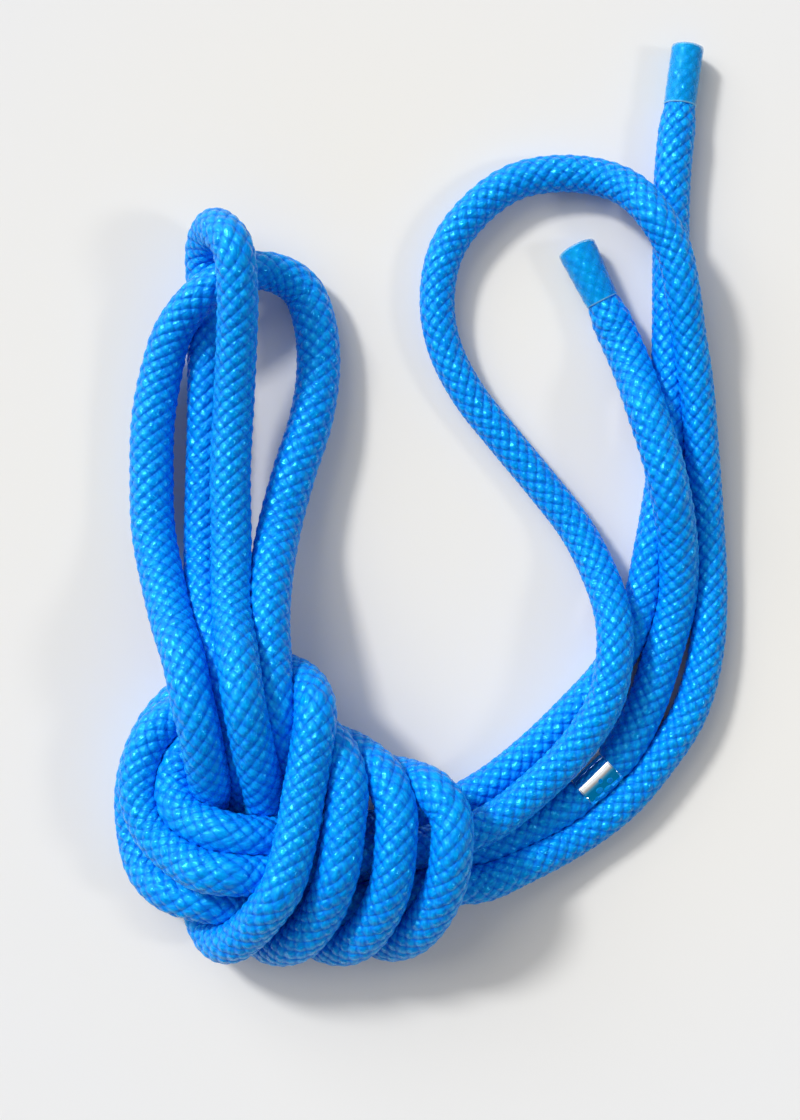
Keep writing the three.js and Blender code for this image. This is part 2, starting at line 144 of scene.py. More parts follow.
# The route, from end A to end B. Each stretch is its fullness and its centreline's points.
TAIL_A = (PLAIN, [
    (0.0725, 0.1226, 0.0048), (0.0705, 0.108, 0.0046), (0.0685, 0.0875, 0.004), (0.0683, 0.066, 0.004),
    (0.0685, 0.0445, 0.004), (0.0683, 0.023, 0.004), (0.0666, 0.001, 0.004), (0.0614, -0.0255, 0.004),
    (0.0528, -0.0438, 0.004), (0.0419, -0.0559, 0.004), (0.0295, -0.0675, 0.0045),
    (0.017, -0.077, 0.005),
])
KNOT_PASS_1 = (KNOTTED, [
    (0.003, -0.0845, 0.005), (-0.0105, -0.0885, 0.0045), (-0.0235, -0.089, 0.008),
    (-0.034, -0.0877, 0.014), (-0.039, -0.0872, 0.017), (-0.0445, -0.0862, 0.02),
    (-0.0505, -0.0842, 0.021), (-0.0562, -0.0815, 0.018), (-0.0602, -0.0767, 0.015),
    (-0.0615, -0.0705, 0.013), (-0.059, -0.065, 0.013), (-0.053, -0.063, 0.0135),
    (-0.0435, -0.065, 0.01), (-0.032, -0.069, 0.005), (-0.02, -0.0715, 0.0045), (-0.009, -0.072, 0.01),
    (-0.0015, -0.0728, 0.018), (0.0035, -0.0745, 0.024), (0.0078, -0.08, 0.027),
    (0.0083, -0.087, 0.028), (0.007, -0.0968, 0.025), (0.0036, -0.1053, 0.02),
    (-0.002, -0.1134, 0.013), (-0.0093, -0.1158, 0.005), (-0.0185, -0.1065, 0.0045),
    (-0.0265, -0.0965, 0.0045), (-0.032, -0.0875, 0.008), (-0.0345, -0.077, 0.014),
    (-0.0363, -0.066, 0.021), (-0.0378, -0.0525, 0.025), (-0.039, -0.041, 0.023),
])
WIDE_BIGHT = (SLACK, [
    (-0.04, -0.0305, 0.021), (-0.0392, -0.0175, 0.016), (-0.037, -0.0045, 0.01),
    (-0.0333, 0.009, 0.008), (-0.029, 0.0225, 0.007), (-0.027, 0.036, 0.006), (-0.0278, 0.048, 0.006),
    (-0.0316, 0.0578, 0.006),
])
WIDE_CREST = (PLAIN, [
    (-0.0395, 0.062, 0.009), (-0.0485, 0.0605, 0.014), (-0.057, 0.0555, 0.015),
    (-0.0648, 0.0465, 0.012),
])
WIDE_RETURN = (SLACK, [
    (-0.0686, 0.036, 0.009), (-0.0711, 0.0225, 0.008), (-0.0715, 0.0065, 0.008),
    (-0.0709, -0.007, 0.009), (-0.0677, -0.0205, 0.014), (-0.0639, -0.032, 0.021),
])
KNOT_PASS_2 = (KNOTTED, [
    (-0.0602, -0.0405, 0.028), (-0.0575, -0.0505, 0.031), (-0.0555, -0.0585, 0.03),
    (-0.054, -0.067, 0.026), (-0.053, -0.074, 0.02), (-0.0535, -0.08, 0.012), (-0.054, -0.087, 0.005),
    (-0.0555, -0.0975, 0.0045), (-0.057, -0.1065, 0.0045), (-0.0542, -0.1138, 0.007),
    (-0.0497, -0.114, 0.014), (-0.0444, -0.109, 0.02), (-0.0397, -0.102, 0.025),
    (-0.0352, -0.0943, 0.027), (-0.0315, -0.083, 0.028), (-0.0296, -0.0745, 0.028),
    (-0.0275, -0.065, 0.028), (-0.0265, -0.0545, 0.027), (-0.0295, -0.0496, 0.021),
    (-0.036, -0.0474, 0.015), (-0.0465, -0.0494, 0.008), (-0.0555, -0.053, 0.0045),
    (-0.0632, -0.057, 0.0045), (-0.0693, -0.0637, 0.0045), (-0.0732, -0.071, 0.0045),
    (-0.0753, -0.0795, 0.0045), (-0.0749, -0.0903, 0.0045), (-0.072, -0.098, 0.009),
    (-0.0653, -0.1028, 0.015), (-0.0565, -0.105, 0.017), (-0.048, -0.1065, 0.015),
    (-0.0415, -0.107, 0.014), (-0.0355, -0.107, 0.014), (-0.022, -0.1055, 0.013),
    (-0.0075, -0.104, 0.013), (0.0055, -0.101, 0.013),
])
RIGHT_SWEEP = (PLAIN, [
    (0.017, -0.1008, 0.01), (0.0282, -0.0964, 0.007), (0.0417, -0.0898, 0.004),
    (0.0545, -0.0805, 0.004), (0.0641, -0.0696, 0.004), (0.073, -0.056, 0.004),
])
RIGHT_LEG = (PULLED, [
    (0.0776, -0.0395, 0.004), (0.0786, -0.023, 0.004), (0.0775, -0.0055, 0.005),
    (0.0757, 0.013, 0.007), (0.0736, 0.0315, 0.009), (0.0713, 0.0445, 0.011), (0.0693, 0.0565, 0.014),
    (0.0669, 0.0675, 0.0145),
])
TOP_LOOP = (PLAIN, [
    (0.062, 0.0765, 0.014), (0.056, 0.084, 0.009), (0.0485, 0.088, 0.005), (0.0375, 0.0892, 0.004),
    (0.0256, 0.0868, 0.004), (0.0152, 0.0793, 0.004), (0.0075, 0.0685, 0.004),
])
LOOP_RETURN = (PULLED, [
    (0.005, 0.055, 0.004), (0.007, 0.0425, 0.004), (0.0133, 0.03, 0.004), (0.0227, 0.018, 0.004),
    (0.0335, 0.005, 0.004), (0.0423, -0.0065, 0.005),
])
INNER_SWEEP = (PLAIN, [
    (0.0481, -0.018, 0.008), (0.0514, -0.0295, 0.013), (0.0517, -0.04, 0.015), (0.0493, -0.052, 0.015),
    (0.042, -0.064, 0.014), (0.032, -0.0745, 0.013), (0.019, -0.0845, 0.013),
])
KNOT_PASS_3 = (KNOTTED, [
    (0.0055, -0.09, 0.013), (-0.0075, -0.092, 0.013), (-0.022, -0.093, 0.014),
    (-0.034, -0.0945, 0.015), (-0.039, -0.096, 0.018), (-0.044, -0.096, 0.021),
    (-0.049, -0.0955, 0.024), (-0.0555, -0.0945, 0.024), (-0.061, -0.0915, 0.021),
    (-0.066, -0.0875, 0.018), (-0.0695, -0.0825, 0.016), (-0.0715, -0.0755, 0.015),
    (-0.071, -0.069, 0.015), (-0.069, -0.062, 0.015), (-0.0645, -0.057, 0.014),
    (-0.056, -0.0535, 0.0135), (-0.046, -0.054, 0.0135), (-0.0363, -0.0578, 0.016),
    (-0.0273, -0.062, 0.021), (-0.0221, -0.0665, 0.025), (-0.0197, -0.073, 0.027),
    (-0.0201, -0.082, 0.028), (-0.0216, -0.093, 0.027), (-0.0258, -0.1038, 0.021),
    (-0.0339, -0.1125, 0.013), (-0.0416, -0.114, 0.005), (-0.0466, -0.1055, 0.0045),
    (-0.0475, -0.0965, 0.0045), (-0.0485, -0.085, 0.007), (-0.048, -0.0745, 0.013),
    (-0.0485, -0.0635, 0.019), (-0.0505, -0.0515, 0.022), (-0.0525, -0.041, 0.021),
])
NARROW_BIGHT = (EASED, [
    (-0.0565, -0.028, 0.014), (-0.0578, -0.0125, 0.006), (-0.0576, 0.004, 0.004),
    (-0.057, 0.023, 0.004), (-0.057, 0.0415, 0.004), (-0.0572, 0.058, 0.004), (-0.057, 0.068, 0.008),
    (-0.0545, 0.072, 0.015), (-0.0515, 0.0705, 0.022), (-0.048, 0.0655, 0.027),
    (-0.0469, 0.0545, 0.026), (-0.0475, 0.042, 0.022), (-0.0485, 0.027, 0.018),
    (-0.0494, 0.0085, 0.017), (-0.049, -0.007, 0.017), (-0.048, -0.0255, 0.021),
])
KNOT_PASS_4 = (KNOTTED, [
    (-0.0455, -0.0405, 0.03), (-0.044, -0.0505, 0.031), (-0.042, -0.063, 0.025),
    (-0.0415, -0.0755, 0.016), (-0.042, -0.0865, 0.006), (-0.0395, -0.0945, 0.0045),
    (-0.0343, -0.1038, 0.0045), (-0.0286, -0.1136, 0.005), (-0.0196, -0.1142, 0.012),
    (-0.0124, -0.1068, 0.02), (-0.0081, -0.0973, 0.026), (-0.0068, -0.087, 0.028),
    (-0.007, -0.0775, 0.027), (-0.0103, -0.0713, 0.024), (-0.0171, -0.0668, 0.018),
    (-0.0246, -0.0645, 0.013), (-0.032, -0.062, 0.008), (-0.042, -0.059, 0.0045),
    (-0.0515, -0.0585, 0.0045), (-0.058, -0.061, 0.0045), (-0.0625, -0.067, 0.0045),
    (-0.0635, -0.0755, 0.0045), (-0.0625, -0.085, 0.005), (-0.06, -0.092, 0.009),
    (-0.055, -0.095, 0.013), (-0.0475, -0.096, 0.014), (-0.0355, -0.098, 0.011),
    (-0.0225, -0.1005, 0.005), (-0.0075, -0.099, 0.0045), (0.006, -0.0965, 0.0045),
])
TAIL_B = (EASED, [
    (0.018, -0.093, 0.005), (0.03, -0.0875, 0.004), (0.04, -0.081, 0.0045), (0.049, -0.0735, 0.005),
    (0.0565, -0.0635, 0.0045), (0.0615, -0.0525, 0.004), (0.0649, -0.0405, 0.004),
    (0.068, -0.026, 0.005), (0.0675, -0.011, 0.009), (0.0655, 0.002, 0.014), (0.0632, 0.0125, 0.015),
    (0.06, 0.0245, 0.013), (0.057, 0.0365, 0.007), (0.0537, 0.0455, 0.004), (0.0508, 0.052, 0.004),
    (0.0476, 0.0585, 0.0045), (0.0429, 0.0684, 0.0045),
])
ROUTE = [
    TAIL_A, KNOT_PASS_1, WIDE_BIGHT, WIDE_CREST, WIDE_RETURN, KNOT_PASS_2, RIGHT_SWEEP, RIGHT_LEG,
    TOP_LOOP, LOOP_RETURN, INNER_SWEEP, KNOT_PASS_3, NARROW_BIGHT, KNOT_PASS_4, TAIL_B,
]


# ---- The centreline ----


def spline(points, per_span):
    """A centripetal Catmull-Rom curve through the points, with that many samples to a span."""
    p = np.vstack([2 * points[0] - points[1], points, 2 * points[-1] - points[-2]])
    gap = np.sqrt(np.linalg.norm(np.diff(p, axis=0), axis=1))[:, None]
    slope = np.diff(p, axis=0) / gap
    across = (p[2:] - p[:-2]) / (gap[:-1] + gap[1:])
    tangent = slope[:-1] - across + slope[1:]
    leave = (tangent[:-1] * gap[1:-1])[:, None]
    arrive = (tangent[1:] * gap[1:-1])[:, None]
    start, end = points[:-1, None], points[1:, None]
    t = (np.arange(per_span) / per_span)[None, :, None]
    curve = (
        (2 * t**3 - 3 * t**2 + 1) * start
        + (t**3 - 2 * t**2 + t) * leave
        + (3 * t**2 - 2 * t**3) * end
        + (t**3 - t**2) * arrive
    )
    return np.vstack([curve.reshape(-1, 3), points[-1]])


def lengths_along(points):
    steps = np.linalg.norm(np.diff(points, axis=0), axis=1)
    return np.concatenate([[0], np.cumsum(steps)])


def read_at(lengths, values, at):
    """Reads points or numbers, which lie at those lengths, at other lengths."""
    if values.ndim == 1:
        return np.interp(at, lengths, values)
    return np.stack([np.interp(at, lengths, values[:, k]) for k in range(values.shape[1])], 1)


def drawn_line():
    """The route as it was drawn: points and fullness, evenly spaced."""
    control = np.array([p for _, points in ROUTE for p in points])
    fullness = np.array([full for full, points in ROUTE for _ in points])
    points = spline(control, SPAN_SAMPLES)
    places = np.arange(len(points)) / SPAN_SAMPLES
    full = np.interp(places, np.arange(len(control)), fullness)
    lengths = lengths_along(points)
    count = round(lengths[-1] / SETTLE_STEP)
    at = np.linspace(0, lengths[-1], count + 1)
    return read_at(lengths, points, at), read_at(lengths, full, at)


def settled_line():
    """The drawn line with its strands moved apart, never lower than the rope can lie."""
    start, fullness = drawn_line()
    for _ in range(FULLNESS_BLENDS):
        fullness[1:-1] = fullness[1:-1] / 2 + (fullness[:-2] + fullness[2:]) / 4
    radii = fullness * ROPE_RADIUS
    lowest = radii - FLOOR_SINK - start[:, 2]
    moves = np.zeros_like(start)
    first, second = np.triu_indices(len(start), NEIGHBOURS + 1)
    for turn in range(SETTLE_ROUNDS):
        points = start + moves
        if turn % REFRESH_ROUNDS == 0:
            wanted = (radii[first] + radii[second]) * SOFTNESS
            distance = np.linalg.norm(points[first] - points[second], axis=1)
            near = distance < wanted + REFRESH_REACH
            a, b, want = first[near], second[near], wanted[near]
        apart = points[a] - points[b]
        distance = np.maximum(np.linalg.norm(apart, axis=1), LEAST_DISTANCE)
        share = np.where(distance < want, (want - distance) / distance, 0) * SETTLE_PUSH
        push = np.zeros_like(start)
        np.add.at(push, a, apart * share[:, None])
        np.add.at(push, b, -apart * share[:, None])
        touching = share > 0
        contacts = np.bincount(a[touching], minlength=len(start))
        contacts = contacts + np.bincount(b[touching], minlength=len(start))
        moves = moves + push / np.maximum(1, contacts / SETTLE_SHARE)[:, None]
        between = (moves[:-2] + moves[2:]) / 2
        moves[1:-1] += SETTLE_SMOOTHING * (between - moves[1:-1])
        moves[:, 2] = np.maximum(moves[:, 2], lowest)
        moves[0] = moves[-1] = 0
    return start + moves, fullness


def squeeze_at(at, total):
    """How far the sleeves and the band draw the rope in, as a share of its thickness."""
    band = total - BAND_FROM_END
    half = BAND_LENGTH / 2
    places = [
        0, SLEEVE_REACH, SLEEVE_REACH + SLEEVE_TAPER,
        band - half - BAND_TAPER, band - half, band + half, band + half + BAND_TAPER,
        total - SLEEVE_REACH - SLEEVE_TAPER, total - SLEEVE_REACH, total,
    ]
    values = [
        MOUTH_SQUEEZE_A, MOUTH_SQUEEZE_A, 1,
        1, BAND_SQUEEZE, BAND_SQUEEZE, 1,
        1, MOUTH_SQUEEZE_B, TIP_SQUEEZE_B,
    ]
    return np.interp(at, places, values)


class RopeLine:
    """The finished centreline: a point, a length and a girth for each ring of the braid."""

    def __init__(self):
        settled, fullness = settled_line()
        fine = spline(settled, round(SETTLE_STEP / RING_STEP))
        places = np.linspace(0, len(settled) - 1, len(fine))
        full = np.interp(places, np.arange(len(settled)), fullness)
        lengths = lengths_along(fine)
        self.total = lengths[-1]
        self.at = np.linspace(0, self.total, round(self.total / RING_STEP) + 1)
        self.points = read_at(lengths, fine, self.at)
        self.girth = read_at(lengths, full, self.at) * squeeze_at(self.at, self.total)

    def index(self, at):
        return int(np.searchsorted(self.at, at))

    def direction(self, index):
        low = max(index - DIRECTION_REACH, 0)
        high = min(index + DIRECTION_REACH, len(self.points) - 1)
        along = self.points[high] - self.points[low]
        return along / np.linalg.norm(along)


# ---- Node building ----


class Nodes:
    """Builds geometry trees, shader groups and materials in short calls."""

    def __init__(self, tree):
        self.tree = tree

    def add(self, kind, **settings):
        node = self.tree.nodes.new(kind)
        for name, value in settings.items():
            setattr(node, name, value)
        return node

    def link(self, source, socket):
        if isinstance(source, (int, float, str, tuple)):
            socket.default_value = source
        elif source is not None:
            self.tree.links.new(source, socket)

    def run(self, kind, *inputs, out=0, **settings):
        node = self.add(kind, **settings)
        for source, socket in zip(inputs, node.inputs):
            self.link(source, socket)
        return node.outputs[out]

    def math(self, operation, *inputs):
        return self.run("ShaderNodeMath", *inputs, operation=operation)

    def vector(self, operation, *inputs, out=0):
        return self.run("ShaderNodeVectorMath", *inputs, operation=operation, out=out)

    def feed(self, inputs, values):
        """Links or sets inputs by their names."""
        for name, source in values.items():
            self.link(source, inputs[name])

    def fed(self, kind, values, **settings):
        """The outputs of a new node whose inputs are given by name."""
        node = self.add(kind, **settings)
        self.feed(node.inputs, values)
        return node.outputs

    def scaled(self, source, factor):
        inputs = {"Vector": source, "Scale": factor}
        return self.fed("ShaderNodeVectorMath", inputs, operation="SCALE")[0]


def new_tree(name, kind, inputs, outputs):
    """An empty group with named sockets: each input is its name, its sort and its value."""
    tree = bpy.data.node_groups.new(name, kind)
    for label, sort, value in inputs:
        made = tree.interface.new_socket(label, in_out="INPUT", socket_type="NodeSocket" + sort)
        if value is not None:
            made.default_value = value
    for label, sort in outputs:
        tree.interface.new_socket(label, in_out="OUTPUT", socket_type="NodeSocket" + sort)
    nodes = Nodes(tree)
    given = nodes.add("NodeGroupInput").outputs
    result = nodes.add("NodeGroupOutput").inputs
    return tree, nodes, given, result


def input_id(tree, label):
    """The identifier of a tree's input, by its name."""
    inputs = (item for item in tree.interface.items_tree if item.in_out == "INPUT")
    return next(item.identifier for item in inputs if item.name == label)


def braid_pattern(n, x, y, crown, lift, roundness):
    """The braid at column x and row y: each family's height, and places across and along its yarns.

    A right-handed yarn keeps x - y, a left-handed one x + y, and both are even along its middle.
    Where two cross, the right-handed yarn lies on top in the even columns and the left-handed one
    in the odd ones. Left-handed yarns lie a little deeper, drawn tighter."""
    minus = n.math("MULTIPLY", n.math("SUBTRACT", x, y), 0.5)
    plus = n.math("MULTIPLY", n.math("ADD", x, y), 0.5)
    yarn_minus = n.math("ROUND", minus)
    yarn_plus = n.math("ROUND", plus)
    across_right = n.math("SUBTRACT", minus, yarn_minus)
    across_left = n.math("SUBTRACT", plus, yarn_plus)

    def height(along, yarn, across, sign):
        phase = n.math("MULTIPLY", n.math("ADD", along, yarn), math.pi)
        wave = n.math("MULTIPLY", n.math("COSINE", phase), n.math("MULTIPLY", lift, sign))
        squared = n.math("MULTIPLY", across, across)
        edge = n.math("MULTIPLY", squared, n.math("MULTIPLY", roundness, 4.0))
        top = n.math("SQRT", n.math("MAXIMUM", n.math("SUBTRACT", 1.0, edge), 0.0))
        return n.math("MULTIPLY_ADD", top, crown, wave)

    return {
        "right": height(plus, yarn_minus, across_right, 1.0),
        "left": n.math("SUBTRACT", height(minus, yarn_plus, across_left, -1.0), LEFT_LOWER),
        "across_right": across_right, "across_left": across_left,
        "along_right": plus, "along_left": minus,
        "yarn_right": yarn_minus, "yarn_left": yarn_plus,
    }


# ---- Geometry trees ----


def braid_tree():
    """Sweeps a ring along the path's points and raises the braid's bumps on it."""
    tree, n, given, result = new_tree(
        "Braided sheath", "GeometryNodeTree",
        [
            ("Path", "Geometry", None),
            ("Radius", "Float", ROPE_RADIUS),
            ("Sides", "Int", RING_SIDES),
            ("Columns", "Float", float(COLUMNS)),
            ("Lay", "Float", LAY),
            ("Yarn crown", "Float", YARN_CROWN),
            ("Yarn lift", "Float", YARN_LIFT),
            ("Yarn roundness", "Float", YARN_ROUNDNESS),
            ("Material", "Material", None),
        ],
        [("Sheath", "Geometry")],
    )
    position, path = carried_path(n, given["Path"])
    ring = n.run("GeometryNodeCurvePrimitiveCircle", given["Sides"], mode="RADIUS")
    index = n.add("GeometryNodeInputIndex").outputs[0]
    ring = store(n, ring, "side", index, "FLOAT")
    tube = n.run("GeometryNodeCurveToMesh", path, ring)
    side, along, girth = (named(n, label, "FLOAT") for label in ("side", "along", "girth"))
    centre = named(n, "centre", "FLOAT_VECTOR")
    x = n.math("MULTIPLY", side, n.math("DIVIDE", given["Columns"], given["Sides"]))
    y = n.math("DIVIDE", along, n.math("DIVIDE", given["Lay"], given["Columns"]))
    braid = braid_pattern(n, x, y, given["Yarn crown"], given["Yarn lift"], given["Yarn roundness"])
    height = n.math("SMOOTH_MAX", braid["right"], braid["left"], CREVICE_BLEND)
    crest = n.math("ADD", given["Yarn crown"], YARN_LIFT - CREST_PROUD)
    radius = n.math("MULTIPLY_ADD", given["Radius"], girth, n.math("SUBTRACT", height, crest))
    outward = n.vector("NORMALIZE", n.vector("SUBTRACT", position, centre))
    place = n.vector("ADD", centre, n.scaled(outward, radius))
    place = n.vector("MAXIMUM", place, LOWEST_PLACE)
    moved = n.run("GeometryNodeSetPosition", tube, None, place)
    end_tree(n, moved, given["Material"], result[0])
    return tree


def strand_tree():
    """Sweeps a small round strand along the path, beside its line."""
    tree, n, given, result = new_tree(
        "Core strand", "GeometryNodeTree",
        [
            ("Path", "Geometry", None),
            ("Offset", "Vector", None),
            ("Radius", "Float", CORE_RADIUS),
            ("Sides", "Int", CORE_SIDES),
            ("Material", "Material", None),
        ],
        [("Strand", "Geometry")],
    )
    position, path = carried_path(n, given["Path"])
    sizes = {"Resolution": given["Sides"], "Radius": given["Radius"]}
    ring = n.fed("GeometryNodeCurvePrimitiveCircle", sizes, mode="RADIUS")[0]
    shifted = n.run("GeometryNodeSetPosition", ring, None, None, given["Offset"])
    swept = {"Curve": path, "Profile Curve": shifted, "Fill Caps": True}
    tube = n.fed("GeometryNodeCurveToMesh", swept)[0]
    centre = named(n, "centre", "FLOAT_VECTOR")
    girth = named(n, "girth", "FLOAT")
    outward = n.vector("SUBTRACT", position, centre)
    place = n.vector("ADD", centre, n.scaled(outward, girth))
    moved = n.run("GeometryNodeSetPosition", tube, None, place)
    end_tree(n, moved, given["Material"], result[0])
    return tree


def carried_path(n, path):
    """The place of a point, and the path as a curve that hands its points' places on to its tube."""
    position = n.add("GeometryNodeInputPosition").outputs[0]
    curve = n.run("GeometryNodeMeshToCurve", path)
    return position, store(n, curve, "centre", position, "FLOAT_VECTOR")


def end_tree(n, geometry, material, result):
    """Makes any instances real and gives the geometry its material."""
    whole = n.run("GeometryNodeRealizeInstances", geometry)
    n.link(n.fed("GeometryNodeSetMaterial", {"Geometry": whole, "Material": material})[0], result)


def store(n, geometry, name, value, kind):
    inputs = {"Geometry": geometry, "Name": name, "Value": value}
    return n.fed("GeometryNodeStoreNamedAttribute", inputs, data_type=kind, domain="POINT")[0]


def named(n, name, kind):
    return n.fed("GeometryNodeInputNamedAttribute", {"Name": name}, data_type=kind)[0]


def path_object(name, line, every=1):
    """The centreline as a chain of edges that carries each point's length and girth."""
    keep = np.arange(0, len(line.points), every)
    if keep[-1] != len(line.points) - 1:
        keep = np.append(keep, len(line.points) - 1)
    mesh = bpy.data.meshes.new(name)
    edges = [(i, i + 1) for i in range(len(keep) - 1)]
    mesh.from_pydata(line.points[keep].tolist(), edges, [])
    for label, values in (("along", line.at), ("girth", line.girth)):
        mesh.attributes.new(label, "FLOAT", "POINT").data.foreach_set("value", values[keep])
    return placed(name, mesh)


def placed(name, data):
    """A new object in the scene."""
    thing = bpy.data.objects.new(name, data)
    bpy.context.scene.collection.objects.link(thing)
    return thing


def grown(path, tree, name, **inputs):
    """Runs a geometry tree on a path and gives the result as a plain mesh."""
    modifier = path.modifiers.new(tree.name, "NODES")
    modifier.node_group = tree
    for label, value in inputs.items():
        modifier[input_id(tree, label)] = value
    graph = bpy.context.evaluated_depsgraph_get()
    mesh = bpy.data.meshes.new_from_object(path.evaluated_get(graph))
    path.modifiers.remove(modifier)
    mesh.name = name
    return mesh


# ---- Shader groups ----


# A grain is a noise's scale, its detail and its roughness
FIBRE_FINENESS = 5.0
FIBRE_TWIST = 0.35
FIBRE_PLIES = 3.0
FIBRE_STRETCH = 1.4
FIBRE_YARN_SHIFT = 3.7
FIBRE_GRAIN = (1.0, 2.0, 0.6)
UNEVEN_GRAIN = (1.0, 1.0)
STREAK_SHARE = 0.65
PLY_SHARE = 0.35


def noise(n, place, scale, detail=2.0, roughness=0.5):
    inputs = {"Vector": place, "Scale": scale, "Detail": detail, "Roughness": roughness}
    return n.fed("ShaderNodeTexNoise", inputs)["Fac"]


def braid_shader():
    """Where a point lies on its yarn: how deep it is, its place across and along it, and which it is."""
    tree, n, given, result = new_tree(
        "Braid places", "ShaderNodeTree",
        [("Place", "Vector", None)],
        [(label, "Float") for label in ("Depth", "Across", "Along", "Yarn", "Right")],
    )
    x, y, _ = n.fed("ShaderNodeSeparateXYZ", {"Vector": given["Place"]})
    braid = braid_pattern(n, x, y, YARN_CROWN, YARN_LIFT, YARN_ROUNDNESS)
    right_on_top = n.math("GREATER_THAN", braid["right"], braid["left"])

    def chosen(name):
        inputs = {"Factor": right_on_top, "A": braid[name + "_left"], "B": braid[name + "_right"]}
        return n.fed("ShaderNodeMix", inputs, data_type="FLOAT")["Result"]

    height = n.math("MAXIMUM", braid["right"], braid["left"])
    depth = n.math("DIVIDE", n.math("SUBTRACT", BRAID_RELIEF, height), BRAID_RELIEF)
    wrapped = n.math("WRAP", chosen("yarn"), COLUMNS / 2, 0.0)
    family = n.math("MULTIPLY", right_on_top, float(COLUMNS))
    n.feed(result, {
        "Depth": depth, "Across": chosen("across"), "Along": chosen("along"),
        "Yarn": n.math("ADD", wrapped, family), "Right": right_on_top,
    })
    return tree


def fibre_shader():
    """Fine fibres that run along a yarn: a streak value, a height and a slow unevenness."""
    tree, n, given, result = new_tree(
        "Yarn fibres", "ShaderNodeTree",
        [
            ("Across", "Float", 0.0),
            ("Along", "Float", 0.0),
            ("Yarn", "Float", 0.0),
            ("Fineness", "Float", FIBRE_FINENESS),
            ("Twist", "Float", FIBRE_TWIST),
            ("Plies", "Float", FIBRE_PLIES),
            ("Cell", "Vector", None),
        ],
        [(label, "Float") for label in ("Streak", "Height", "Uneven")],
    )
    slanted = n.math("MULTIPLY_ADD", given["Along"], given["Twist"], given["Across"])
    place = n.run(
        "ShaderNodeCombineXYZ",
        n.math("MULTIPLY", slanted, given["Fineness"]),
        n.math("MULTIPLY", given["Along"], FIBRE_STRETCH),
        n.math("MULTIPLY", given["Yarn"], FIBRE_YARN_SHIFT),
    )
    streak = noise(n, place, *FIBRE_GRAIN)
    ply = n.math("SINE", n.math("MULTIPLY", n.math("MULTIPLY", slanted, given["Plies"]), 2 * math.pi))
    ply = n.math("MULTIPLY_ADD", ply, 0.5, 0.5)
    height = n.math("MULTIPLY_ADD", streak, STREAK_SHARE, n.math("MULTIPLY", ply, PLY_SHARE))
    uneven = noise(n, given["Cell"], *UNEVEN_GRAIN)
    n.feed(result, {"Streak": streak, "Height": height, "Uneven": uneven})
    return tree


# ---- Materials ----


def new_material(name):
    material = bpy.data.materials.new(name)
    material.use_nodes = True
    material.node_tree.nodes.clear()
    n = Nodes(material.node_tree)
    shader = n.add("ShaderNodeBsdfPrincipled")
    output = n.add("ShaderNodeOutputMaterial")
    n.link(shader.outputs[0], output.inputs["Surface"])
    return material, n, shader.inputs


def group(n, tree, **inputs):
    return n.fed("ShaderNodeGroup", inputs, node_tree=tree)


def ramp(n, value, stops):
    """A colour ramp: each stop is its place and its linear colour."""
    node = n.add("ShaderNodeValToRGB")
    elements = node.color_ramp.elements
    while len(elements) < len(stops):
        elements.new(1.0)
    for element, (place, color) in zip(elements, stops):
        element.position = place
        element.color = (*color, 1.0)
    n.link(value, node.inputs[0])
    return node.outputs[0]


def mixed(n, kind, factor, a, b):
    node = n.add("ShaderNodeMix", data_type="RGBA", blend_type=kind)
    n.link(factor, node.inputs["Factor"])
    for source, socket in ((a, node.inputs[6]), (b, node.inputs[7])):
        if isinstance(source, tuple):
            socket.default_value = (*source, 1.0)
        else:
            n.link(source, socket)
    return node.outputs[2]


def bump(n, height, strength, distance, normal=None):
    inputs = {"Strength": strength, "Distance": distance, "Height": height, "Normal": normal}
    return n.fed("ShaderNodeBump", inputs)[0]


def srgb(red, green, blue):
    """An 8-bit screen colour as a linear one."""
    def linear(v):
        v /= 255
        return v / 12.92 if v <= 0.04045 else ((v + 0.055) / 1.055) ** 2.4
    return (linear(red), linear(green), linear(blue))


# Tones and shades are the stops of a colour ramp. A relief is a bump's strength and its height. A
# gloss or a cover is two noise values, and the roughness or the alpha at each.
WHITE = (1.0, 1.0, 1.0)
PALE = (0.85, 0.85, 0.85)
SHEEN_TINT = (0.08, 0.78, 1.0, 1.0)
BRAID_MAP = "braid"
# The attribute that marks the sleeve's mouth for its painted highlight.
RIM_HIGHLIGHT = "rim_highlight"

# The yarn's colours by depth below the crest: the blue is painted darker down the bumps' sides and into
# the crevices between them, as painted shade.
YARN_BRIGHT = srgb(2, 177, 255)
YARN_BLUE = srgb(0, 157, 250)
YARN_DEEP_SHADE = srgb(0, 129, 243)
YARN_CREVICE_SHADE = srgb(0, 94, 232)
YARN_DEPTH_SHADES = [(0.0, YARN_BRIGHT), (0.3, YARN_BLUE), (0.62, YARN_DEEP_SHADE), (0.95, YARN_CREVICE_SHADE)]
YARN_SHADES = [(0.0, (0.84, 0.88, 0.96)), (1.0, WHITE)]
FIBRE_TONES = [(0.38, (0.22, 0.58, 0.88)), (0.6, WHITE)]
FIBRE_TONE_SHARE = 0.9
FIBRE_GLOSS = (0.25, 0.75, 0.26, 0.12)
LEFT_DULLER = 0.16
DEEP_DULLER = 0.5
YARN_IOR = 1.55
YARN_RELIEF = (0.45, BRAID_RELIEF)
UNEVEN_RELIEF = (0.65, 0.9 * MM)
FIBRE_RELIEF = (0.45, 0.15 * MM)

CORE_GRAIN = (900.0, 4.0)
CORE_TONES = [(0.3, (0.62, 0.6, 0.54)), (0.7, (0.86, 0.85, 0.8))]
CORE_ROUGHNESS = 0.75
CORE_RELIEF = (0.5, 0.1 * MM)

SEAL_GRAIN = (700.0, 5.0)
SEAL_TONES = [(0.3, srgb(0, 84, 190)), (0.7, srgb(0, 138, 226))]
SEAL_ROUGHNESS = 0.35
SEAL_RELIEF = (0.6, 0.2 * MM)

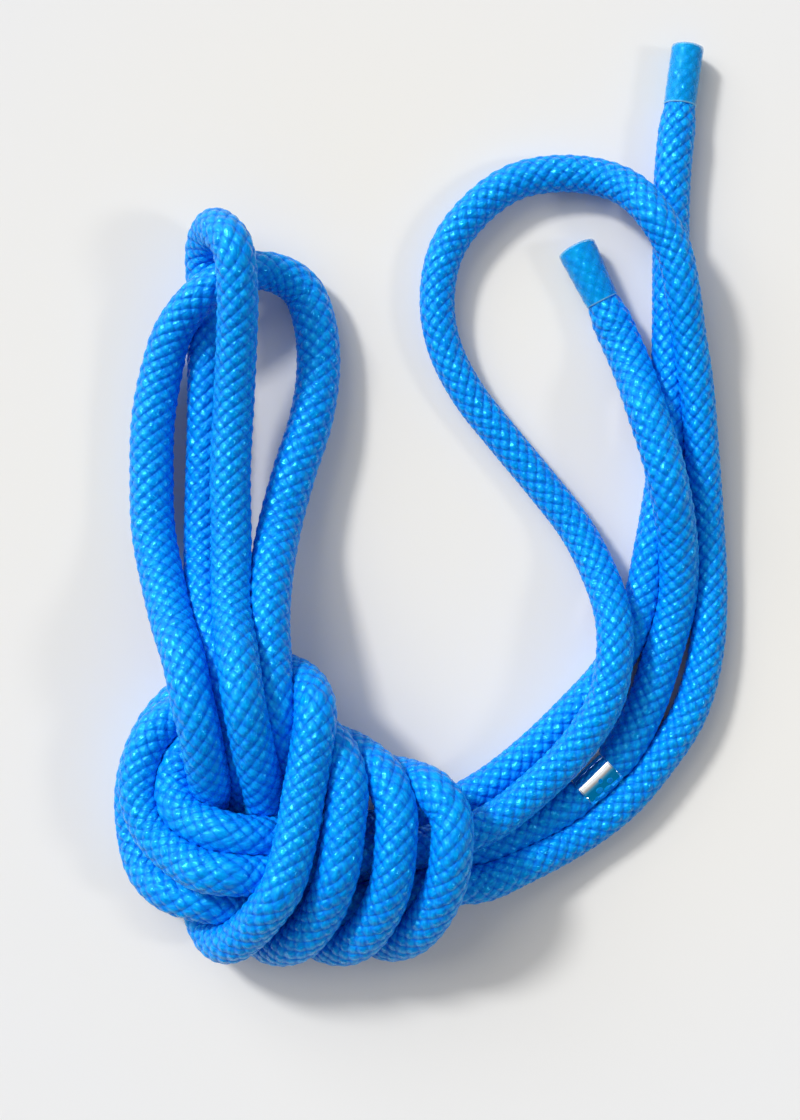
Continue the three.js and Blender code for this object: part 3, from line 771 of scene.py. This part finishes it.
SLEEVE_GRAIN = (320.0, 3.0)
SLEEVE_TONES = [(0.3, srgb(0, 172, 244)), (0.7, srgb(4, 192, 252))]
# The film's pale colour is a painted sheen along its sides and a painted highlight at its mouth.
SLEEVE_PAINTED_HIGHLIGHT = srgb(170, 234, 254)
SLEEVE_SIDE_BLEND = 0.3
SLEEVE_SIDE_SHEEN = 0.22
SLEEVE_COVER = (0.3, 0.7, 0.32, 0.46)
SLEEVE_HIGHLIGHT_COVERS = 0.5
SLEEVE_GLOSS = (0.3, 0.7, 0.18, 0.3)
SLEEVE_IOR = 1.45
SLEEVE_TINT = (0.15, 0.8, 1.0, 1.0)
SLEEVE_RELIEF = (0.35, 0.2 * MM)

BAND_GRAIN = (1400.0, 3.0)
BAND_TONES = [(0.25, (0.8, 0.82, 0.85)), (0.75, (0.93, 0.94, 0.95))]
BAND_GLOSS = (0.3, 0.8, 0.04, 0.11)
BAND_WAVE_SCALE = 130.0
BAND_RELIEF = (0.3, 0.25 * MM)


def object_place(n):
    return n.add("ShaderNodeTexCoord").outputs["Object"]


def mottled(n, shader, grain, tones, relief):
    """Gives a shader a grain that lies in the object, as its colour and as its bump."""
    value = noise(n, object_place(n), *grain)
    n.link(ramp(n, value, tones), shader["Base Color"])
    n.link(bump(n, value, *relief), shader["Normal"])


def sheath_material(places, fibres):
    material, n, shader = new_material("Sheath yarn")
    uv = n.add("ShaderNodeUVMap", uv_map=BRAID_MAP).outputs[0]
    where = group(n, places, Place=uv)
    fibre = group(n, fibres, Across=where["Across"], Along=where["Along"], Yarn=where["Yarn"], Cell=uv)
    # Painted shade: the colour darkens with the depth below the crest, into the crevices.
    depth = ramp(n, where["Depth"], YARN_DEPTH_SHADES)
    color = mixed(n, "MULTIPLY", FIBRE_TONE_SHARE, depth, ramp(n, fibre["Streak"], FIBRE_TONES))
    yarn = n.fed("ShaderNodeTexWhiteNoise", {"W": where["Yarn"]}, noise_dimensions="1D")["Value"]
    color = mixed(n, "MULTIPLY", 1.0, color, ramp(n, yarn, YARN_SHADES))
    n.link(color, shader["Base Color"])
    gloss = n.run("ShaderNodeMapRange", fibre["Streak"], *FIBRE_GLOSS)
    gloss = n.math("MULTIPLY_ADD", n.math("SUBTRACT", 1.0, where["Right"]), LEFT_DULLER, gloss)
    n.link(n.math("MULTIPLY_ADD", where["Depth"], DEEP_DULLER, gloss), shader["Roughness"])
    n.feed(shader, {"IOR": YARN_IOR, "Specular IOR Level": 1.0, "Specular Tint": SHEEN_TINT})
    relief = bump(n, n.math("SUBTRACT", 1.0, where["Depth"]), *YARN_RELIEF)
    uneven = bump(n, fibre["Uneven"], *UNEVEN_RELIEF, relief)
    n.link(bump(n, fibre["Height"], *FIBRE_RELIEF, uneven), shader["Normal"])
    return material


def core_material():
    material, n, shader = new_material("Core yarn")
    mottled(n, shader, CORE_GRAIN, CORE_TONES, CORE_RELIEF)
    n.link(CORE_ROUGHNESS, shader["Roughness"])
    return material


def seal_material():
    material, n, shader = new_material("Melted end")
    mottled(n, shader, SEAL_GRAIN, SEAL_TONES, SEAL_RELIEF)
    n.feed(shader, {"Roughness": SEAL_ROUGHNESS, "Specular Tint": SHEEN_TINT})
    return material


def sleeve_material():
    """A thin clear film: its tint lies over the yarn, with a painted sheen paler along its sides and a
    painted highlight at its mouth.
    """
    material, n, shader = new_material("Clear sleeve")
    grain = noise(n, object_place(n), *SLEEVE_GRAIN)
    film = ramp(n, grain, SLEEVE_TONES)
    # Painted sheen and highlight: the colour turns paler towards the film's outline and on the mouth's
    # rings, where it also covers more.
    rim_highlight = n.add("ShaderNodeAttribute", attribute_name=RIM_HIGHLIGHT).outputs["Fac"]
    side = n.fed("ShaderNodeLayerWeight", {"Blend": SLEEVE_SIDE_BLEND})["Facing"]
    painted_highlight = n.math("MULTIPLY_ADD", side, SLEEVE_SIDE_SHEEN, rim_highlight)
    n.link(mixed(n, "MIX", painted_highlight, film, SLEEVE_PAINTED_HIGHLIGHT), shader["Base Color"])
    cover = n.run("ShaderNodeMapRange", grain, *SLEEVE_COVER)
    n.link(n.math("MULTIPLY_ADD", painted_highlight, SLEEVE_HIGHLIGHT_COVERS, cover), shader["Alpha"])
    n.link(n.run("ShaderNodeMapRange", grain, *SLEEVE_GLOSS), shader["Roughness"])
    n.feed(shader, {"IOR": SLEEVE_IOR, "Specular Tint": SLEEVE_TINT})
    n.link(bump(n, grain, *SLEEVE_RELIEF), shader["Normal"])
    return material


def band_material():
    material, n, shader = new_material("Band metal")
    place = object_place(n)
    grain = noise(n, place, *BAND_GRAIN)
    n.link(ramp(n, grain, BAND_TONES), shader["Base Color"])
    n.link(1.0, shader["Metallic"])
    n.link(n.run("ShaderNodeMapRange", grain, *BAND_GLOSS), shader["Roughness"])
    n.link(bump(n, noise(n, place, BAND_WAVE_SCALE), *BAND_RELIEF), shader["Normal"])
    return material


# ---- Pieces ----


def finish_piece(name, mesh, material, node):
    mesh.materials.clear()
    mesh.materials.append(material)
    mesh.polygons.foreach_set("use_smooth", [True] * len(mesh.polygons))
    thing = placed(name, mesh)
    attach(thing, BODY)
    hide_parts(node)
    return thing


def mesh_of(name, verts, faces):
    mesh = bpy.data.meshes.new(name)
    mesh.from_pydata(np.asarray(verts).reshape(-1, 3).tolist(), [], faces)
    mesh.validate()
    mesh.update()
    return mesh


def braid_rings(line, tree, material):
    """The braid's surface for the whole rope, as rings of points in the order of the line."""
    path = path_object("rope_path", line)
    mesh = grown(path, tree, "rope_rings", Material=material)
    co = np.empty(len(mesh.vertices) * 3, np.float32)
    mesh.vertices.foreach_get("co", co)
    bpy.data.objects.remove(path)
    return co.reshape(-1, RING_SIDES, 3).astype(float)


def pressed(rings, line):
    """The share of its radius that each point keeps where strands press flat against each other."""
    radii = ROPE_RADIUS * line.girth
    centres = line.points
    kept = np.ones(rings.shape[:2])
    sample = np.arange(0, len(centres), PRESS_EVERY)
    for i, ring in enumerate(rings):
        reach = radii[i] + radii[sample]
        near = np.linalg.norm(centres[sample] - centres[i], axis=1) < reach
        near &= np.abs(line.at[sample] - line.at[i]) > PRESS_APART
        if not near.any():
            continue
        others = centres[sample[near]] - centres[i]
        spokes = ring - centres[i]
        spokes *= radii[i] / np.linalg.norm(spokes, axis=1, keepdims=True)
        low, high = np.full(len(ring), PRESS_LEAST), np.ones(len(ring))
        for turn in range(PRESS_HALVINGS + 1):
            share = high if turn == 0 else (low + high) / 2
            gaps = np.linalg.norm(spokes[:, None] * share[:, None, None] - others[None], axis=2)
            free = (gaps / radii[sample[near]]).min(axis=1) >= share
            low = np.where(free, share, low)
            high = np.where(free, high, share)
        kept[i] = low
    for _ in range(PRESS_BLENDS):
        kept = kept / 2 + (np.roll(kept, 1, axis=1) + np.roll(kept, -1, axis=1)) / 4
        kept[1:-1] = kept[1:-1] / 2 + (kept[:-2] + kept[2:]) / 4
    return kept


def turns_left(ring, centre, direction):
    """Whether a ring's points go round its direction by the right-hand rule."""
    a, b = ring[0] - centre, ring[RING_SIDES // 4] - centre
    return np.dot(np.cross(a, b), direction) > 0


def grid_quads(rings, sides, start=0, flip=False):
    """Faces between rings of points that follow each other."""
    i = np.arange(rings - 1)[:, None] * sides + start
    k = np.arange(sides)[None, :]
    after = (k + 1) % sides
    quads = np.stack([i + k, i + after, i + sides + after, i + sides + k], 2).reshape(-1, 4)
    return quads[:, ::-1] if flip else quads


def closed_quads(rings, sides):
    """Faces between rings of points, of which the last joins the first."""
    k = np.arange(sides)
    after = (k + 1) % sides
    last = (rings - 1) * sides
    seam = np.stack([last + k, last + after, after, k], 1)
    return np.vstack([grid_quads(rings, sides), seam]).tolist()


def braid_normals(rings):
    """Each point's normal on the whole rope, so that stretches shade alike where they meet."""
    along = np.gradient(rings, axis=0)
    around = np.roll(rings, -1, axis=1) - np.roll(rings, 1, axis=1)
    normals = np.cross(around, along)
    return normals / np.linalg.norm(normals, axis=2, keepdims=True)


def sheath_stretch(name, rings, normals, kept_share, line, low, high, material):
    """One stretch of the sheath: its braided outside, its bore, and a wall closed at both ends."""
    own = slice(low, high + 1)
    outside = rings[own]
    centres = line.points[own]
    count = len(outside)
    kept = sorted({*range(0, count, BORE_EVERY_RING), count - 1})
    spokes = outside[kept][:, ::BORE_EVERY_SIDE] - centres[kept][:, None]
    spokes /= np.linalg.norm(spokes, axis=2, keepdims=True)
    bore = SHEATH_BORE * line.girth[own][kept][:, None, None]
    bore = bore * kept_share[own][kept][:, ::BORE_EVERY_SIDE, None]
    inside = centres[kept][:, None] + spokes * bore
    first_bore = count * RING_SIDES
    last_bore = first_bore + (len(kept) - 1) * BORE_SIDES
    faces = grid_quads(count, RING_SIDES).tolist()
    outer_faces = len(faces)
    faces += grid_quads(len(kept), BORE_SIDES, first_bore, flip=True).tolist()
    faces += wall_end(0, first_bore, flip=True)
    faces += wall_end((count - 1) * RING_SIDES, last_bore)
    mesh = mesh_of(name, np.vstack([outside.reshape(-1, 3), inside.reshape(-1, 3)]), faces)
    braid_map(mesh, line.at[own], outer_faces)
    piece = finish_piece(name, mesh, material, "sheath")
    facing = np.vstack([normals[own].reshape(-1, 3), -spokes.reshape(-1, 3)])
    mesh.normals_split_custom_set_from_vertices(facing.tolist())
    return piece


def wall_end(outer, inner, flip=False):
    """Faces across the sheath's wall, from the outside ring to the bore's coarser one."""
    faces = []
    for k in range(BORE_SIDES):
        arc = [(k * BORE_EVERY_SIDE + s) % RING_SIDES + outer for s in range(BORE_EVERY_SIDE + 1)]
        face = [*arc, inner + (k + 1) % BORE_SIDES, inner + k]
        faces.append(face[::-1] if flip else face)
    return faces


def braid_map(mesh, at, outer_faces):
    """Gives the outside faces their columns and rows in the braid, unbroken across the seam."""
    row = at / (LAY / COLUMNS)
    columns = np.arange(RING_SIDES + 1) * (COLUMNS / RING_SIDES)
    i, k = np.meshgrid(np.arange(len(at) - 1), np.arange(RING_SIDES), indexing="ij")
    corners = [(i, k), (i, k + 1), (i + 1, k + 1), (i + 1, k)]
    uv = np.stack([np.stack([columns[b], row[a]], 2) for a, b in corners], 2)
    values = np.zeros((len(mesh.loops), 2), np.float32)
    values[: outer_faces * 4] = uv.reshape(-1, 2)
    mesh.uv_layers.new(name=BRAID_MAP).data.foreach_set("uv", values.ravel())


def make_sheath(line, rings, kept_share, material):
    """The sheath in stretches that meet face to face."""
    bounds = np.linspace(0, len(rings) - 1, STRETCHES + 1).astype(int)
    normals = braid_normals(rings)
    for k, (low, high) in enumerate(zip(bounds[:-1], bounds[1:])):
        name = f"rope_stretch_{k + 1}"
        piece = sheath_stretch(name, rings, normals, kept_share, line, low, high, material)


def make_core(line, tree, material):
    path = path_object("core_path", line, CORE_RING_EVERY)
    offsets = {"centre": (0.0, 0.0, 0.0)}
    for k in range(CORE_COUNT):
        angle = 2 * math.pi * k / CORE_COUNT
        offsets[k + 1] = (CORE_PITCH * math.cos(angle), CORE_PITCH * math.sin(angle), 0.0)
    for label, offset in offsets.items():
        name = f"core_yarn_{label}"
        mesh = grown(path, tree, name, Offset=offset, Material=material)
        finish_piece(name, mesh, material, f"core_strand_{label}")
    bpy.data.objects.remove(path)


def turned(name, profile, place, direction, sides):
    """A closed profile of (radius, height) pairs turned round a direction from a place."""
    side = np.cross(direction, (0, 0, 1))
    side /= np.linalg.norm(side)
    up = np.cross(side, direction)
    angles = np.linspace(0, 2 * math.pi, sides, endpoint=False)[None, :, None]
    around = np.cos(angles) * side + np.sin(angles) * up
    profile = np.array(profile)
    rings = place + profile[:, 1, None, None] * direction + profile[:, 0, None, None] * around
    return mesh_of(name, rings, closed_quads(len(profile), sides))


def recalculated(mesh, merge_within=0.0):
    """Merges points that lie that close, and turns every face of the closed mesh outwards."""
    work = bmesh.new()
    work.from_mesh(mesh)
    if merge_within:
        bmesh.ops.remove_doubles(work, verts=work.verts, dist=merge_within)
    bmesh.ops.recalc_face_normals(work, faces=work.faces)
    work.to_mesh(mesh)
    work.free()
    return mesh


def make_band(line, material):
    """The metal ring: a thin tube with a rolled bead along both edges."""
    half = BAND_LENGTH / 2
    middle = line.total - BAND_FROM_END
    low, high = line.index(middle - half), line.index(middle + half)
    along = line.points[high] - line.points[low]
    along /= np.linalg.norm(along)
    place = (line.points[low] + line.points[high]) / 2
    edge = bead_edge(-half)
    profile = [(BAND_BORE, -half), *edge, *((r, -y) for r, y in reversed(edge)), (BAND_BORE, half)]
    mesh = recalculated(turned("band", profile, place, along, BAND_SIDES))
    finish_piece("metal_band", mesh, material, "marker_band")


def bead_edge(low):
    """The rolled edge of the band: a small round bead that stands a little proud of it."""
    points = []
    for k in range(BEAD_STEPS + 1):
        angle = math.pi * k / BEAD_STEPS
        radius = BAND_RADIUS - BEAD / 2 + BEAD_PROUD + BEAD / 2 * math.sin(angle)
        points.append((radius, low + BEAD / 2 - BEAD / 2 * math.cos(angle)))
    points.append((BAND_RADIUS, low + BEAD * BEAD_FOOT))
    return points


def make_seal(letter, line, at_start, material):
    """The melted end: a low dome over the cut."""
    index = 0 if at_start else len(line.points) - 1
    outward = line.direction(index) * (-1 if at_start else 1)
    place = line.points[index] + outward * SEAL_GAP
    radius = ROPE_RADIUS * line.girth[index] * SEAL_SHARE
    profile = [(0.0, 0.0), (radius * SEAL_FOOT, 0.0), (radius, SEAL_THICKNESS * SEAL_RIM)]
    for k in range(1, SEAL_STEPS + 1):
        angle = math.pi / 2 * k / SEAL_STEPS
        profile.append((
            radius * math.cos(angle) ** SEAL_FLATNESS if k < SEAL_STEPS else 0.0,
            SEAL_THICKNESS * (SEAL_RIM + (1 - SEAL_RIM) * math.sin(angle)),
        ))
    mesh = recalculated(turned(f"seal_{letter}", profile, place, outward, SEAL_SIDES), MERGE_WITHIN)
    finish_piece(f"melted_end_{letter}", mesh, material, f"end_seal_{letter}")


def make_sleeve(letter, line, rings, at_start, material):
    """A clear sleeve shrunk onto the rope, so that the braid's bumps show softly in its outside."""
    last = line.index(SLEEVE_REACH)
    order = np.arange(last + 1) if at_start else len(rings) - 1 - np.arange(last + 1)
    order = np.append(order[:-2:SLEEVE_EVERY], order[-2:])
    spokes = rings[order][:, ::SLEEVE_EVERY] - line.points[order][:, None]
    reach = np.linalg.norm(spokes, axis=2, keepdims=True)
    around = spokes / reach
    full = ROPE_RADIUS * line.girth[order][:, None, None]
    outside = full + SLEEVE_SHOWS * (reach - full) + SLEEVE_WALL
    outer = line.points[order][:, None] + around * outside
    inner = line.points[order][:, None] + around * (outside - SLEEVE_WALL)
    outward = line.direction(order[0]) * (-1 if at_start else 1)
    cut = line.points[order[0]]
    lips = [cut + outward * ahead + around[0] * (full[0] - drawn_in) for ahead, drawn_in in SLEEVE_LIP]
    loops = np.vstack([outer[::-1], np.array(lips), inner])
    sides = loops.shape[1]
    mesh = recalculated(mesh_of(f"sleeve_{letter}", loops, closed_quads(len(loops), sides)))
    # The first and last rings, at the mouth, are marked for the painted highlight along the lip.
    rim_highlight = np.zeros(len(loops))
    rim_highlight[0] = rim_highlight[-1] = 1
    mesh.attributes.new(RIM_HIGHLIGHT, "FLOAT", "POINT").data.foreach_set("value", np.repeat(rim_highlight, sides))
    finish_piece(f"clear_sleeve_{letter}", mesh, material, f"end_sleeve_{letter}")


# ---- Stage, light and camera ----


CAMERA_HEIGHT = 0.5
PHOTO_SCALE = 0.27 * MM
PHOTO_HEIGHT = 1120
ROPE_LEVEL = 4 * MM
CAMERA_CENTRE = (-5 * MM, -15 * MM)
SENSOR = 24.0
KEY_FROM = (-0.55, 0.5, 0.6)
# Each sun's name, where it shines from, its strength and its width in degrees
SUNS = [
    ("key", KEY_FROM, 2.0, 9),
    ("soft", KEY_FROM, 1.3, 54),
    ("side", (0.75, -0.1, 0.62), 0.4, 9),
]
WORLD_STRENGTH = 0.33
FLOOR_REACH = 3.0
# Painted light: the floor is tinted warm near the rope, against the blue light the rope bounces onto it,
# and plain pale beyond.
FLOOR_PAINTED_WARMTH = [(0.09, (0.87, 0.85, 0.8)), (0.18, PALE)]
FLOOR_ROUGHNESS = 0.9
FLOOR_SHINE = 0.1
# What the rope reflects, from the side away from the key light to the side towards it
ROOM_TONES = [
    (0.2, (0.0, 0.15, 0.34)), (0.42, (0.04, 0.27, 0.45)), (0.6, (0.42, 0.37, 0.34)),
    (0.76, (0.88, 0.88, 0.88)), (0.95, WHITE),
]


def make_camera():
    data = bpy.data.cameras.new("camera")
    data.sensor_fit = "VERTICAL"
    data.sensor_height = SENSOR
    data.lens = SENSOR * (CAMERA_HEIGHT - ROPE_LEVEL) / (PHOTO_HEIGHT * PHOTO_SCALE)
    camera = placed("camera", data)
    camera.location = (*CAMERA_CENTRE, CAMERA_HEIGHT)
    bpy.context.scene.camera = camera


def make_floor():
    corners = [(x * FLOOR_REACH, y * FLOOR_REACH, 0) for x, y in ((-1, -1), (1, -1), (1, 1), (-1, 1))]
    mesh = mesh_of("floor", corners, [(0, 1, 2, 3)])
    floor = placed("floor", mesh)
    material, n, shader = new_material("Pale floor")
    # Painted tint: warm near the rope, to offset its blue bounced light, and plain pale further out.
    away = n.vector("LENGTH", object_place(n), out="Value")
    n.link(ramp(n, away, FLOOR_PAINTED_WARMTH), shader["Base Color"])
    n.feed(shader, {"Roughness": FLOOR_ROUGHNESS, "Specular IOR Level": FLOOR_SHINE})
    mesh.materials.append(material)


def make_sun(name, shines_from, strength, angle):
    data = bpy.data.lights.new(name, "SUN")
    data.energy = strength
    data.angle = math.radians(angle)
    light = placed(name, data)
    light.rotation_euler = (-Vector(shines_from)).to_track_quat("-Z", "Y").to_euler()


def make_world():
    """Even light all round; in reflections, a room that is pale towards the key light."""
    world = bpy.data.worlds.new("studio")
    world.use_nodes = True
    n = Nodes(world.node_tree)
    world.node_tree.nodes.clear()
    fill = n.run("ShaderNodeBackground", None, WORLD_STRENGTH)
    place = n.add("ShaderNodeTexCoord").outputs["Generated"]
    towards_sun = n.vector("DOT_PRODUCT", place, tuple(Vector(KEY_FROM).normalized()), out="Value")
    mirrored = n.run("ShaderNodeBackground", ramp(n, towards_sun, ROOM_TONES))
    backdrop = n.run("ShaderNodeBackground", (*PALE, 1.0))
    rays = n.add("ShaderNodeLightPath").outputs
    seen = n.math("MAXIMUM", rays["Is Camera Ray"], rays["Is Transmission Ray"])
    lit = n.run("ShaderNodeMixShader", rays["Is Glossy Ray"], fill, mirrored)
    whole = n.run("ShaderNodeMixShader", seen, lit, backdrop)
    n.link(whole, n.add("ShaderNodeOutputWorld").inputs[0])
    bpy.context.scene.world = world


# ---- The scene ----


def make_rope():
    line = RopeLine()
    places, fibres = braid_shader(), fibre_shader()
    yarn = sheath_material(places, fibres)
    rings = braid_rings(line, braid_tree(), yarn)
    if not turns_left(rings[0], line.points[0], line.direction(0)):
        rings = rings[:, ::-1]
    kept_share = pressed(rings, line)
    rings = line.points[:, None] + (rings - line.points[:, None]) * kept_share[:, :, None]
    make_sheath(line, rings, kept_share, yarn)
    make_core(line, strand_tree(), core_material())
    make_band(line, band_material())
    seal, sleeve = seal_material(), sleeve_material()
    for letter, at_start in (("a", True), ("b", False)):
        make_seal(letter, line, at_start, seal)
        make_sleeve(letter, line, rings, at_start, sleeve)


bpy.context.scene.view_settings.view_transform = "Standard"
make_camera()
make_floor()
for sun in SUNS:
    make_sun(*sun)
make_world()
make_rope()
